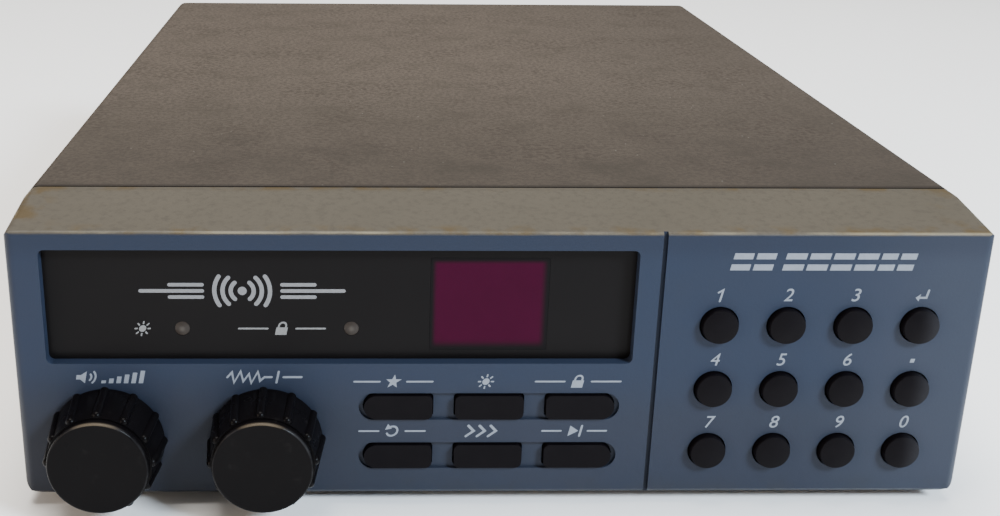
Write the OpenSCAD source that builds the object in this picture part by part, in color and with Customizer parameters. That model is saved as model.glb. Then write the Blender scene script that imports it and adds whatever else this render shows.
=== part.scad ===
// Compact mobile scanner receiver: moulded front bezel, folded metal case, two knobs,
// six function buttons and a twelve-key pad. Millimetres, +Z up, front towards -Y.
// Inside the modules Y is counted back from the front face and Z up from the bezel's
// underside; placed() moves that onto the part's own origin, bottom centre of the whole.

/* [Case] */
// Width of the bezel and the cover
body_w = 162; // [160:0.5:170]
// Height of the case without its feet
body_h = 50.3; // [50:0.1:53]
// Depth from the front face to the rear edge of the cover
body_d = 208; // [206:1:230]
// Depth of the bezel along its top
bezel_d = 17.2; // [16.8:0.1:20]
// Slope of the band above the front face, degrees
band_slope = 7.8; // [6:0.1:11]
// Thickness of the sheet metal
sheet_t = 1; // [0.8:0.1:1.2]
// Outside bend radius of the cover and of the bezel's top edges
edge_r = 2; // [1.5:0.1:2.5]
// Height of the rubber feet
foot_h = 2; // [1.5:0.1:4]

/* [Front panel] */
// Thickness of the front wall
wall_t = 2; // [1.8:0.1:2.2]
// Left edge, right edge, lower edge and upper edge of the window opening
window_box = [-75.4, 22.5, 24.85, 45.1];
// Left edge, right edge, lower edge and upper edge of the coloured display filter
filter_box = [-11.6, 8.2, 26.5, 43.1];
// Left and right places of the two indicator lamps
lamp_x = [-52.9, -24.7];
// Height of the indicator lamps
lamp_z = 30.4; // [29:0.1:33]
// Place of the groove that divides off the keypad
groove_x = 26.5; // [26:0.1:27]

/* [Controls] */
// Left and right places of the two knobs
knob_x = [-65.9, -39.1];
// Height of the knob axes
knob_z = 10.9; // [10.8:0.1:11.2]
// Length of a knob
knob_len = 9.8; // [9:0.1:12]
// Ribs round a knob
knob_ribs = 12; // [8:1:18]
// First column of the keypad
key_x = 36.55; // [36:0.05:37]
// Pitch of the keypad columns
key_dx = 11.2; // [11:0.05:11.2]
// Lowest row of the keypad
key_z = 8.45; // [8.4:0.05:8.9]
// Pitch of the keypad rows
key_dz = 11.75; // [11.5:0.05:11.8]
// Radius of a round key
key_r = 3.05; // [2.6:0.05:3.1]
// Travel of a round key
key_travel = 0.9; // [0.5:0.1:1]
// Heights of the two rows of function buttons
button_z = [16.85, 7.5];
// Middle of the function buttons
button_x = -1.3; // [-2:0.1:0]
// Pitch of the function buttons
button_dx = 15.45; // [15.2:0.05:15.6]
// Width and height of a function button
button_size = [11.6, 4.4];
// Travel of a function button
button_travel = 0.7; // [0.4:0.1:0.8]

/* [Hidden] */
$fn = 64;

gap = 0.1;             // clearance between fixed pieces
knob_gap = 0.5;        // knob back to front face
jack_out = 3;          // how far the rear jacks reach past the cover
half_w = body_w / 2;
front_y = -(knob_gap + knob_len);
rear_y = body_d + jack_out;
shift_y = -(front_y + rear_y) / 2;

// side profile of the bezel
flat_y = bezel_d - 1.6;                      // where the flat lip by the cover starts
face_top = body_h - flat_y * tan(band_slope);
nose_r = 0.8;
nose_steps = 10;
nose_z = face_top + nose_r * tan(band_slope) - nose_r / cos(band_slope);
foot_r = 3.2;                                // lower corners of the bezel
corner_r = 1.8;                              // upright front corners of the bezel
band_r = edge_r - 0.4;                       // side edges of the sloped band
side_t = 2.2;
key_hole_r = key_r + 0.25;
recess_d = 0.6;                              // stadium recess of the function buttons
recess_h = 5;
recess_w = 2 * button_dx + button_size[0] + 1.8;
button_clear = 0.2;

// stack behind the front wall
flange_y = wall_t + 0.2;                     // retaining flanges of keys and buttons
flange_t = 0.9;
board_y = 7.5;                               // front face of the front board
board_t = 1.6;
mat_t = 1;
dome_h = 1;
stem_end = board_y - mat_t - dome_h - key_travel - 0.35;

// main chassis
cover_y = bezel_d + 0.6;                     // open seam between bezel and cover
cover_in = half_w - sheet_t;
rear_r = 3.2;                                // rear corners of the cover
return_w = 3.5;                              // return of the cover round the rear panel
panel_t = 1.5;
panel_y = body_d - 1 - panel_t;
main_z = 9;                                  // underside of the main board
main_box = [74, 30, 194];                    // half width, front and rear edges
speaker_c = [0, 148];
speaker_r = 33;
jack_z = 26;
antenna_x = 52;
phones_x = -20;
power_x = -52;
sink_screw_x = [-5.5, 25.5];
sink_screw_z = 36;
insert_y = 92;
insert_z = 25;
thread_r = 2.1;                              // inside an M5 thread
cover_screw_y = [40, 182];
base_screw_y = 24;
base_screw_x = 62;
lip_h = 9;                                   // rear lip of the tray
lip_screw_z = 5;
standoff_at = [[-66, 40], [66, 40], [-66, 184], [66, 184]];
foot_at = [[-62, 52], [62, 52], [-62, 170], [62, 170]];
post_at = [[-75.5, 21.8], [-28, 21.8], [26.9, 42], [26.9, 4.5], [75.6, 42], [75.6, 3.6]];

key_at = [["1", 0, 2], ["2", 1, 2], ["3", 2, 2], ["4", 0, 1], ["5", 1, 1], ["6", 2, 1],
    ["7", 0, 0], ["8", 1, 0], ["9", 2, 0], ["0", 3, 0], ["point", 3, 1], ["enter", 3, 2]];

// Colours
blue_grey = [0.29, 0.33, 0.40];
taupe = [0.44, 0.41, 0.37];
black = [0.06, 0.06, 0.07];
steel = [0.72, 0.72, 0.72];
board_green = [0.10, 0.32, 0.18];

// ---------- helpers ----------

module placed() translate([0, shift_y, foot_h]) children();

// a solid along +Z turned so that it runs from y0 towards the back
module back_from(x, y0, z) translate([x, y0, z]) rotate([-90, 0, 0]) children();

// a solid along +Z turned so that it runs from y0 towards the front
module forward_from(x, y0, z) translate([x, y0, z]) rotate([90, 0, 0]) children();

// a flat outline drawn in X and Z, thickened from y0 to y1
module slab(y0, y1) translate([0, y1, 0]) rotate([90, 0, 0]) linear_extrude(y1 - y0) children();

// box between two corners
module box(a, b) translate(a) cube(b - a);

// outline with its own radius at the left end and at the right end
module end_rounded(w, h, left_r, right_r) {
    translate([left_r - w / 2, -h / 2]) square([w - left_r - right_r, h]);
    for (end = [[-1, left_r], [1, right_r]]) {
        for (up = [-1, 1]) translate([end[0] * (w / 2 - end[1]), up * (h / 2 - end[1])])
            circle(end[1]);
        if (h > 2 * end[1]) translate([end[0] * (w / 2 - end[1] / 2), 0])
            square([end[1], h - 2 * end[1]], center = true);
    }
}

module rounded_box_outline(b, r) translate([(b[0] + b[1]) / 2, (b[2] + b[3]) / 2])
    end_rounded(b[1] - b[0], b[3] - b[2], r, r);

// upright outline of the case from the front: small lower corners, bent upper edges
module case_outline(low_r, top_r, w, z0, z1) {
    translate([low_r - w / 2, z0]) square([w - 2 * low_r, low_r]);
    translate([-w / 2, z0 + low_r]) square([w, z1 - z0 - low_r - top_r]);
    translate([top_r - w / 2, z1 - top_r]) square([w - 2 * top_r, top_r]);
    for (s = [-1, 1]) {
        translate([s * (w / 2 - low_r), z0 + low_r]) circle(low_r);
        translate([s * (w / 2 - top_r), z1 - top_r]) circle(top_r);
    }
}

// screw pointing down from its head at the origin
module screw(head_r, head_h, shank_r, len) {
    difference() {
        union() {
            cylinder(r = head_r, h = head_h * 0.6);
            translate([0, 0, head_h * 0.6]) cylinder(r1 = head_r, r2 = head_r * 0.72, h = head_h * 0.4);
        }
        for (a = [0, 90]) rotate(a) translate([-head_r * 0.62, -0.3, head_h * 0.4])
            cube([head_r * 1.24, 0.6, head_h]);
    }
    translate([0, 0, -len]) cylinder(r = shank_r, h = len);
}

// ---------- front bezel and window ----------

// point of the rounded nose, from 0 at the front face to 1 where it meets the sloped band
function nose_at(t) = let (a = 180 - t * (90 - band_slope))
    [nose_r + nose_r * cos(a), nose_z + nose_r * sin(a)];

// front, nose and underside; the sloped and flat parts of the top come from the two outlines
module bezel_profile() {
    last = nose_at(1 - 1 / nose_steps);
    past = last + 1.4 * (nose_at(1) - last);
    polygon(concat([[0.8, 0], [0, 0.8]], [for (i = [0 : nose_steps - 1]) nose_at(i / nose_steps)],
        [past, [past[0], body_h + 3], [bezel_d, body_h + 3], [bezel_d, 0]]));
}

module bezel_cavity_profile() polygon([[wall_t, wall_t],
    [wall_t, face_top + wall_t * tan(band_slope) - wall_t],
    [flat_y, body_h - wall_t], [bezel_d + 1, body_h - wall_t], [bezel_d + 1, wall_t]]);

module across(w, x0) translate([x0, 0, 0]) rotate([90, 0, 90]) linear_extrude(w) children();

// frame inside the bezel's rear edge: the cover and the tray slide over it, and its two bosses
// take the screws that come up through the tray
module bezel_frame() color([0.10, 0.10, 0.11]) difference() {
    union() {
        box([2.3 - half_w, bezel_d - 4, 2.1], [half_w - 2.3, bezel_d, body_h - 2.5]);
        box([1.4 - half_w, bezel_d, 1.4], [half_w - 1.4, bezel_d + 3.2, body_h - 1.4]);
        for (s = [-1, 1])
            box([s * base_screw_x - 4, bezel_d + 1, 1.4], [s * base_screw_x + 4, bezel_d + 10, 7.4]);
    }
    difference() {
        box([3.6 - half_w, bezel_d - 5, 3.4], [half_w - 3.6, bezel_d + 4, body_h - 3.8]);
        for (s = [-1, 1])
            box([s * base_screw_x - 4, bezel_d + 1, 1.4], [s * base_screw_x + 4, bezel_d + 10, 7.4]);
    }
    for (s = [-1, 1]) translate([s * base_screw_x, base_screw_y, 1]) cylinder(r = 1.25, h = 5);
}

module front_bezel() color(blue_grey) difference() {
    intersection() {
        across(body_w, -half_w) bezel_profile();
        slab(-1, bezel_d + 1) case_outline(foot_r, edge_r, body_w, 0, body_h);
        translate([0, 0, face_top]) rotate([band_slope, 0, 0]) translate([0, 0, -face_top])
            slab(-12, 2 * bezel_d) case_outline(0.1, band_r, body_w, -20, face_top);
        translate([0, 0, -1]) linear_extrude(body_h + 2)
            translate([0, bezel_d]) end_rounded(body_w, 2 * bezel_d, corner_r, corner_r);
    }
    across(body_w - 2 * side_t, -half_w + side_t) bezel_cavity_profile();
    slab(-1, wall_t + 1) rounded_box_outline(window_box, 1);
    box([groove_x - 0.37, -1, -1], [groove_x + 0.37, 0.7, body_h + 1]);
    for (k = key_at) back_from(key_px(k), -1, key_pz(k)) cylinder(r = key_hole_r, h = 5);
    for (z = button_z) {
        translate([button_x, 0, z]) slab(-1, recess_d)
            end_rounded(recess_w, recess_h, recess_h / 2, recess_h / 2);
        for (i = [-1, 0, 1]) translate([button_x + i * button_dx, 0, z]) slab(0, wall_t + 1)
            button_outline(i, button_clear);
    }
    for (x = knob_x) back_from(x, -1, knob_z) cylinder(r = bushing_r + 0.15, h = 5);
}

function key_px(k) = key_x + k[1] * key_dx;
function key_pz(k) = key_z + k[2] * key_dz;

module display_window() color(black) difference() {
    slab(wall_t, wall_t + 1.6) rounded_box_outline(
        [window_box[0] - 1.8, window_box[1] + 1.8, window_box[2] - 1.8, window_box[3] + 0.3], 0.3);
    slab(wall_t - 1, wall_t + 3) rounded_box_outline(filter_box, 0.3);
    for (x = lamp_x) back_from(x, wall_t - 1, lamp_z) cylinder(r = lamp_r + 0.03, h = 4);
}

module display_filter() color([0.30, 0.08, 0.18]) slab(wall_t, wall_t + 1.6)
    rounded_box_outline([filter_box[0] + 0.03, filter_box[1] - 0.03,
        filter_box[2] + 0.03, filter_box[3] - 0.03], 0.3);

module display_module() color([0.16, 0.15, 0.15]) {
    slab(4.4, board_y) rounded_box_outline([filter_box[0] - 2, filter_box[1] + 2,
        filter_box[2] - 1.5, filter_box[3] + 0.4], 0.5);
}

lamp_r = 1.25;
module lamp(x) color([0.55, 0.5, 0.45]) {
    dome_r = 3;
    proud = 0.2;
    back_from(x, wall_t + 1, lamp_z) cylinder(r = lamp_r, h = 3);
    intersection() {
        back_from(x, wall_t - 1, lamp_z) cylinder(r = lamp_r, h = 3);
        translate([x, wall_t + dome_r - proud, lamp_z]) sphere(dome_r);
    }
    back_from(x, wall_t + 2.4, lamp_z) cylinder(r = lamp_r + 0.4, h = 0.8);
    for (s = [-0.7, 0.7]) back_from(x + s, wall_t + 3, lamp_z) cylinder(r = 0.25, h = board_y - wall_t - 3);
}
module window_lamps() for (x = lamp_x) lamp(x);

// ---------- keypad and function buttons ----------

// the front board steps up past the two rotary controls
module front_board() color(board_green) slab(board_y, board_y + board_t) {
    board_top = 44.6;
    step_x = knob_x[1] + 10.5;
    step_z = knob_z + 10.4;
    translate([-77, step_z]) square([154, board_top - step_z]);
    translate([step_x, 2.6]) square([77 - step_x, step_z - 2]);
}

// spacers between the bezel's wall and the front board
module board_posts() color([0.10, 0.10, 0.11])
    for (p = post_at) back_from(p[0], wall_t, p[1]) cylinder(r = 1.1, h = board_y - wall_t);

module keypad_mat() color([0.35, 0.35, 0.36]) {
    slab(board_y - mat_t, board_y) rounded_box_outline([key_x - 6, key_x + 3 * key_dx + 6,
        key_z - 3.6, key_z + 2 * key_dz + 6], 2);
    for (k = key_at) forward_from(key_px(k), board_y - mat_t, key_pz(k))
        cylinder(r1 = 3.2, r2 = 2.2, h = dome_h);
}

switch_y = board_y - 1.7;
module button_switches() color([0.2, 0.2, 0.2]) for (z = button_z, i = [-1, 0, 1])
    translate([button_x + i * button_dx, 0, z]) {
        box([-3, switch_y, -3], [3, board_y, 3]);
        forward_from(0, switch_y, 0) cylinder(r = 1.6, h = 0.5);
    }

module key(k) color(black) {
    x = key_px(k);
    z = key_pz(k);
    dome_r = 12;
    proud = 1.5;
    shoulder_r = 0.8;
    len = flange_y + proud;
    intersection() {
        forward_from(x, flange_y, z) rotate_extrude() {
            square([key_r, len - shoulder_r]);
            square([key_r - shoulder_r, len]);
            translate([key_r - shoulder_r, len - shoulder_r]) circle(shoulder_r);
        }
        translate([x, dome_r - proud, z]) sphere(dome_r, $fn = 96);
    }
    back_from(x, flange_y, z) cylinder(r = key_r + 0.9, h = flange_t);
    back_from(x, flange_y, z) cylinder(r = 1.5, h = stem_end - flange_y);
}

// outlines of the left, middle and right button of a row, grown by c
module button_outline(i, c) {
    w = button_size[0] + 2 * c;
    h = button_size[1] + 2 * c;
    end_rounded(w, h, i < 0 ? h / 2 : 1, i > 0 ? h / 2 : 1);
}

module function_button(i, row) color(black) translate([button_x + i * button_dx, 0, button_z[row]]) {
    slab(-0.5, flange_y) button_outline(i, 0);
    slab(flange_y, flange_y + flange_t) end_rounded(button_size[0] + 1.4, button_size[1] + 1.2, 0.7, 0.7);
    back_from(0, flange_y, 0) cylinder(r = 1.3, h = switch_y - 0.5 - button_travel - 0.3 - flange_y);
}

// ---------- knobs and rotary controls ----------

shaft_r = 3;
bushing_r = 3.5;
nut_h = 2;
washer_t = 0.6;

module shaft_section(r, h) difference() {
    cylinder(r = r, h = h);
    translate([r - 0.7, -r, -1]) cube([r, 2 * r, h + 2]);
}

module knob(x, turn) color(black) forward_from(x, -knob_gap, knob_z) rotate(turn) {
    shoulder = knob_len - 1.5;
    root_back = 9.55;
    root_front = 8.6;
    cap_r = 8.3;
    rim_r = 0.4;
    rib_r = 0.8;
    rib_len = shoulder - 1.1;
    difference() {
        union() {
            cylinder(r1 = root_back, r2 = root_front, h = shoulder, $fn = 96);
            rotate_extrude($fn = 96) {
                square([cap_r, knob_len - rim_r]);
                square([cap_r - rim_r, knob_len]);
                translate([cap_r - rim_r, knob_len - rim_r]) circle(rim_r);
            }
            for (i = [0 : knob_ribs - 1]) rotate(i * 360 / knob_ribs)
                translate([9.3, 0, 0.2]) rotate([0, -6, 0]) {
                    cylinder(r = rib_r, h = rib_len, $fn = 32);
                    translate([0, 0, rib_len]) sphere(rib_r, $fn = 32);
                }
        }
        translate([0, 0, -1]) cylinder(r = 7.2, h = 1 + nut_h + washer_t + 0.6);
        translate([0, 0, -1]) shaft_section(shaft_r, knob_len - 1);
    }
}
module volume_knob() knob(knob_x[0], 0);
module squelch_knob() knob(knob_x[1], 2);

module shaft(x, turn) color(steel) forward_from(x, control_y + 4, knob_z) rotate(turn) {
    shaft_section(shaft_r, control_y + 4 + knob_gap + knob_len - 2.2);
    cylinder(r = 5.5, h = 1);
}
module volume_shaft() shaft(knob_x[0], 0);
module squelch_shaft() shaft(knob_x[1], 2);

control_y = wall_t + gap;        // front of the rotary control's body
module rotary_control(x) color([0.62, 0.6, 0.55]) {
    body_r = 8;
    difference() {
        union() {
            back_from(x, control_y, knob_z) cylinder(r = body_r, h = 8);
            forward_from(x, control_y + 1, knob_z) cylinder(r = bushing_r, h = control_y + 1 + nut_h + washer_t);
            for (s = [-5, 0, 5]) box([x + s - 0.6, control_y + 6.2, knob_z + 6],
                [x + s + 0.6, control_y + 6.8, knob_z + 10]);
        }
        forward_from(x, control_y + 7, knob_z) cylinder(r = shaft_r + 0.06, h = 20);
        forward_from(x, control_y + 6, knob_z) cylinder(r = 6, h = 4);
    }
}
module volume_control() rotary_control(knob_x[0]);
module squelch_control() rotary_control(knob_x[1]);

module control_washers() color(steel) for (x = knob_x) forward_from(x, 0, knob_z) difference() {
    cylinder(r = 6, h = washer_t);
    translate([0, 0, -1]) cylinder(r = bushing_r + 0.05, h = 3);
}

module control_nuts() color(steel) for (x = knob_x) forward_from(x, -washer_t, knob_z) difference() {
    cylinder(r = 5.7, h = nut_h, $fn = 6);
    translate([0, 0, -1]) cylinder(r = bushing_r + 0.05, h = nut_h + 2);
}

// ---------- case ----------

// the case from above, with rounded rear corners
module plan_outline(inset) translate([0, (body_d - inset) / 2 - 10])
    end_rounded(body_w - 2 * inset, body_d - inset + 20, rear_r - inset, rear_r - inset);

// folded cover: top, two sides and a narrow return round the rear corners
module top_cover() color(taupe) difference() {
    intersection() {
        slab(cover_y, body_d) case_outline(0.1, edge_r, body_w, 1, body_h);
        linear_extrude(body_h + 1) plan_outline(0);
    }
    intersection() {
        slab(cover_y - 1, body_d - sheet_t)
            case_outline(0.1, edge_r - sheet_t, body_w - 2 * sheet_t, -5, body_h - sheet_t);
        translate([0, 0, -6]) linear_extrude(body_h + 8) plan_outline(sheet_t);
    }
    box([return_w - half_w, body_d - 3, -1], [half_w - return_w, body_d + 1, body_h - return_w]);
    for (s = [-1, 1], y = cover_screw_y) translate([s * half_w, y, 7]) rotate([0, 90, 0])
        cylinder(r = 1.7, h = 6, center = true);
    for (s = [-1, 1]) translate([s * half_w, insert_y, insert_z]) rotate([0, 90, 0])
        cylinder(r = 4.7, h = 6, center = true, $fn = 6);
}

// tray: floor with the speaker slots, turned-up sides and a lip along the rear panel
module base_tray() color(taupe) difference() {
    union() {
        box([-cover_in + gap, cover_y, 0], [cover_in - gap, panel_y + panel_t, sheet_t]);
        for (s = [-1, 1]) box([s > 0 ? cover_in - gap - sheet_t : -cover_in + gap, cover_y + 6, 0],
            [s > 0 ? cover_in - gap : -cover_in + gap + sheet_t, panel_y - 2, 34]);
        box([-cover_in + 3, panel_y - sheet_t, 0], [cover_in - 3, panel_y, lip_h]);
    }
    for (i = [-5 : 5]) {
        half = sqrt(pow(speaker_r - 5, 2) - pow(i * 5, 2));
        translate([speaker_c[0], speaker_c[1] + i * 5, -1]) linear_extrude(3)
            end_rounded(2 * half, 2.2, 1.1, 1.1);
    }
    for (s = [-1, 1], y = cover_screw_y) translate([s * cover_in, y, 7]) rotate([0, 90, 0])
        cylinder(r = 1.25, h = 6, center = true);
    for (s = [-1, 1]) translate([s * cover_in, insert_y, insert_z]) rotate([0, 90, 0])
        cylinder(r = 4.1, h = 6, center = true, $fn = 6);
    for (s = [-1, 1]) {
        translate([s * base_screw_x, base_screw_y, -1]) cylinder(r = 1.7, h = 4);
        back_from(s * base_screw_x, panel_y - 3, lip_screw_z) cylinder(r = 1.25, h = 5);
    }
    for (p = standoff_at) translate([p[0], p[1], -1]) cylinder(r = 1.55, h = 4);
}

// plate that carries the jacks
module rear_panel() color([0.30, 0.30, 0.31]) difference() {
    intersection() {
        box([-cover_in, panel_y, sheet_t + gap], [cover_in, panel_y + panel_t, body_h - sheet_t - 1.2]);
        linear_extrude(body_h) plan_outline(sheet_t + gap);
    }
    for (s = [-1, 1]) back_from(s * base_screw_x, panel_y - 2, lip_screw_z) cylinder(r = 1.6, h = 5);
    back_from(antenna_x, panel_y - 2, jack_z) cylinder(r = 6.1, h = 5);
    back_from(phones_x, panel_y - 2, jack_z) cylinder(r = 3.1, h = 5);
    back_from(power_x, panel_y - 2, jack_z) cylinder(r = 4.1, h = 5);
    for (x = sink_screw_x) back_from(x, panel_y - 2, sink_screw_z) cylinder(r = 1.6, h = 5);
}

module cover_screws() color(steel) for (s = [-1, 1], y = cover_screw_y)
    translate([s * half_w, y, 7]) rotate([0, s * 90, 0]) screw(2.8, 1, 1.2, 5);

// two screws up through the tray, two through the rear panel into the tray's lip and two into
// the heat sink
module case_screws() color(steel) {
    for (s = [-1, 1]) {
        translate([s * base_screw_x, base_screw_y, 0]) rotate([180, 0, 0]) screw(2.8, 1, 1.2, 5);
        back_from(s * base_screw_x, panel_y + panel_t, lip_screw_z) screw(2.8, 1, 1.2, 5);
    }
    for (x = sink_screw_x) back_from(x, panel_y + panel_t, sink_screw_z) screw(2.8, 1, 1.2, 6);
}

module feet() color([0.05, 0.05, 0.05]) for (p = foot_at) translate([p[0], p[1], -foot_h])
    rotate_extrude() {
        square([4.6, foot_h]);
        translate([0, 0.4]) square([5, foot_h - 0.4]);
        translate([4.6, 0.4]) circle(0.4);
    }

// hexagonal threaded inserts for the mounting bracket's thumb screws
module bracket_inserts() color([0.75, 0.62, 0.35]) for (s = [-1, 1])
    translate([s * half_w, insert_y, insert_z]) rotate([0, -s * 90, 0]) difference() {
        union() {
            cylinder(r = 4.6, h = sheet_t, $fn = 6);
            cylinder(r = 4, h = 7, $fn = 6);
        }
        translate([0, 0, -1]) cylinder(r = thread_r, h = 9);
    }

// ---------- main board ----------

module main_board() color(board_green) difference() {
    translate([0, 0, main_z]) linear_extrude(board_t) difference() {
        translate([-main_box[0], main_box[1]]) square([2 * main_box[0], main_box[2] - main_box[1]]);
        translate(speaker_c) circle(speaker_r + 2.5);
    }
    for (p = standoff_at) translate([p[0], p[1], main_z - 1]) cylinder(r = 1.7, h = 4);
}

module board_standoffs() color([0.75, 0.62, 0.35]) for (p = standoff_at) translate([p[0], p[1], 0])
    difference() {
        union() {
            translate([0, 0, sheet_t]) cylinder(r = 3, h = main_z - sheet_t, $fn = 6);
            cylinder(r = 1.5, h = 2);
        }
        translate([0, 0, 3]) cylinder(r = 1.2, h = main_z);
    }

module board_screws() color(steel) for (p = standoff_at) translate([p[0], p[1], main_z + board_t])
    screw(2.6, 1.4, 1.15, 5);

top_z = main_z + board_t;

// tinned shield box over the tuner
module rf_shield() color([0.7, 0.7, 0.66]) difference() {
    box([20, 40, top_z], [62, 96, top_z + 14]);
    box([20.5, 40.5, top_z - 1], [61.5, 95.5, top_z + 13.5]);
    for (i = [0 : 3], j = [0 : 2]) translate([27 + i * 9.5, 52 + j * 16, top_z + 12])
        cylinder(r = 1.8, h = 4);
}

module tuning_cans() color([0.78, 0.78, 0.75]) for (i = [0 : 3], j = [0 : 1])
    translate([6 - j * 11, 44 + i * 12, top_z]) difference() {
        translate([-3.75, -3.75, 0]) cube([7.5, 7.5, 9]);
        translate([0, 0, 8]) cylinder(r = 2, h = 2);
    }

module processor_chip() color([0.08, 0.08, 0.08]) {
    difference() {
        box([-60, 62, top_z + 0.6], [-46.3, 113, top_z + 4.4]);
        translate([-53.15, 113, top_z + 3.4]) cylinder(r = 1.6, h = 2);
    }
    for (i = [0 : 19], s = [-1, 1]) translate([-53.15 + s * 7.4, 64 + i * 2.54, top_z])
        translate([-0.6, -0.25, 0]) cube([1.2, 0.5, 2.6]);
}

module capacitors() color([0.12, 0.14, 0.28]) for (c = [[-22, 48, 5, 16], [-34, 48, 4, 12],
    [-22, 62, 4, 12], [-62, 140, 6.3, 22], [-62, 158, 5, 18], [58, 118, 4, 12], [47, 112, 3, 9]])
    translate([c[0], c[1], top_z]) {
        cylinder(r = c[2], h = c[3] - 0.6);
        cylinder(r = c[2] - 0.6, h = c[3]);
    }

// audio power stage bolted to its finned block on the rear panel
module heat_sink() color([0.12, 0.12, 0.12]) difference() {
    box([-8, panel_y - 14, 15], [28, panel_y, 42]);
    for (i = [0 : 3]) box([-1.6 + i * 5.4, panel_y - 10, 14], [1.2 + i * 5.4, panel_y - 3, 43]);
    for (x = sink_screw_x) back_from(x, panel_y - 6, sink_screw_z) cylinder(r = 1.25, h = 7);
}

module regulator() color([0.1, 0.1, 0.1]) {
    box([0, panel_y - 18.6, 18], [20, panel_y - 14, 30]);
    for (i = [0 : 6]) box([1 + i * 2.8, panel_y - 16.6, top_z], [1.8 + i * 2.8, panel_y - 16, 18]);
}

// flat cable from the front board back and down to the main board
module ribbon_cable() color([0.6, 0.6, 0.58]) across(30, 30)
    polygon([[board_y + board_t, 28], [board_y + board_t, 27.2], [34, 27.2], [35, 26.2],
        [35, top_z], [35.8, top_z], [35.8, 26.6], [34.4, 28]]);

// ---------- speaker ----------

module speaker_cloth() color([0.1, 0.1, 0.1]) translate([speaker_c[0], speaker_c[1], sheet_t])
    cylinder(r = speaker_r - 1, h = 0.4);

module speaker_frame() color([0.5, 0.5, 0.5]) translate([speaker_c[0], speaker_c[1], sheet_t + 0.4])
    difference() {
        rotate_extrude() polygon([[28.2, 0], [speaker_r, 0], [speaker_r, 1], [30.5, 1], [16, 13],
            [8.5, 13], [8.5, 12], [15.6, 12], [28.2, 1.4]]);
        for (i = [0 : 3]) rotate(45 + i * 90) translate([22, 0, 6]) rotate([0, 90, 0])
            cylinder(r = 4.4, h = 20, center = true);
    }

module speaker_cone() color([0.15, 0.14, 0.13]) translate([speaker_c[0], speaker_c[1], sheet_t + 0.6])
    rotate_extrude() polygon([[0, 8.6], [7, 8.6], [24, 1.2], [27.9, 0.6], [27.9, 0.9], [24.3, 1.6],
        [7.3, 9.4], [7.3, 11.8], [6.9, 11.8], [6.9, 9], [0, 9]]);

module speaker_magnet() color([0.25, 0.25, 0.26]) translate([speaker_c[0], speaker_c[1], sheet_t + 13.4])
    difference() {
        union() {
            cylinder(r = 14, h = 1.2);
            translate([0, 0, 1.2]) cylinder(r = 15, h = 6);
            translate([0, 0, 7.2]) cylinder(r = 14, h = 1.6);
        }
        translate([0, 0, -1]) cylinder(r = 7.8, h = 5);
    }

// ---------- rear jacks ----------

// coaxial aerial socket: sleeve, insulator and centre contact in one turned piece
module antenna_jack() color([0.8, 0.8, 0.78]) difference() {
    union() {
        back_from(antenna_x, panel_y - 11, jack_z) cylinder(r = 6, h = rear_y - panel_y + 11);
        back_from(antenna_x, panel_y - 1.5, jack_z) cylinder(r = 7.5, h = 1.5);
        back_from(antenna_x, panel_y - 15, jack_z) cylinder(r = 2, h = 5);
    }
    back_from(antenna_x, rear_y - 10, jack_z) cylinder(r = 4.3, h = 11);
    back_from(antenna_x, rear_y - 14, jack_z) cylinder(r = 1.6, h = 11);
}

module speaker_jack() color([0.08, 0.08, 0.08]) difference() {
    union() {
        box([phones_x - 5, panel_y - 12, jack_z - 6], [phones_x + 5, panel_y, jack_z + 6]);
        back_from(phones_x, panel_y - 1, jack_z) cylinder(r = 3, h = rear_y - panel_y);
        back_from(phones_x, panel_y + panel_t, jack_z) cylinder(r = 4.4, h = 1.6);
    }
    back_from(phones_x, panel_y - 10, jack_z) cylinder(r = 1.8, h = 20);
}

module power_jack() color([0.08, 0.08, 0.08]) {
    difference() {
        union() {
            box([power_x - 5.5, panel_y - 11, jack_z - 5.5], [power_x + 5.5, panel_y, jack_z + 5.5]);
            back_from(power_x, panel_y - 1, jack_z) cylinder(r = 4, h = rear_y - panel_y);
            back_from(power_x, panel_y + panel_t, jack_z) cylinder(r = 5.6, h = 1.6, $fn = 6);
        }
        back_from(power_x, panel_y - 8, jack_z) cylinder(r = 2.85, h = 20);
    }
    back_from(power_x, panel_y - 9, jack_z) cylinder(r = 1.05, h = 11.5);
}

// ---------- nodes ----------

placed() front_bezel();
placed() bezel_frame();
placed() display_window();
placed() display_filter();
placed() display_module();
placed() window_lamps();
placed() front_board();
placed() board_posts();
placed() keypad_mat();
placed() button_switches();
for (k = key_at) placed() key(k);
placed() function_button(-1, 0);  // priority_button
placed() function_button(0, 0);  // weather_button
placed() function_button(1, 0);  // lockout_button
placed() function_button(-1, 1);  // review_button
placed() function_button(0, 1);  // scan_button
placed() function_button(1, 1);  // manual_button
placed() volume_knob();
placed() squelch_knob();
placed() volume_shaft();
placed() squelch_shaft();
placed() volume_control();
placed() squelch_control();
placed() control_washers();
placed() control_nuts();
placed() top_cover();
placed() base_tray();
placed() rear_panel();
placed() cover_screws();
placed() case_screws();
placed() feet();
placed() bracket_inserts();
placed() main_board();
placed() board_standoffs();
placed() board_screws();
placed() rf_shield();
placed() tuning_cans();
placed() processor_chip();
placed() capacitors();
placed() regulator();
placed() heat_sink();
placed() ribbon_cable();
placed() speaker_frame();
placed() speaker_cone();
placed() speaker_magnet();
placed() speaker_cloth();
placed() antenna_jack();
placed() power_jack();
placed() speaker_jack();
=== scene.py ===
"""Looks for the compact mobile scanner: materials, printed symbols, floor, lights and camera.

All lengths are metres in the part's own frame: +Z up, front towards -Y. Printed symbols are
drawn in millimetres from their own middle.
"""

import math

import bpy
from mathutils import Matrix, Vector


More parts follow.
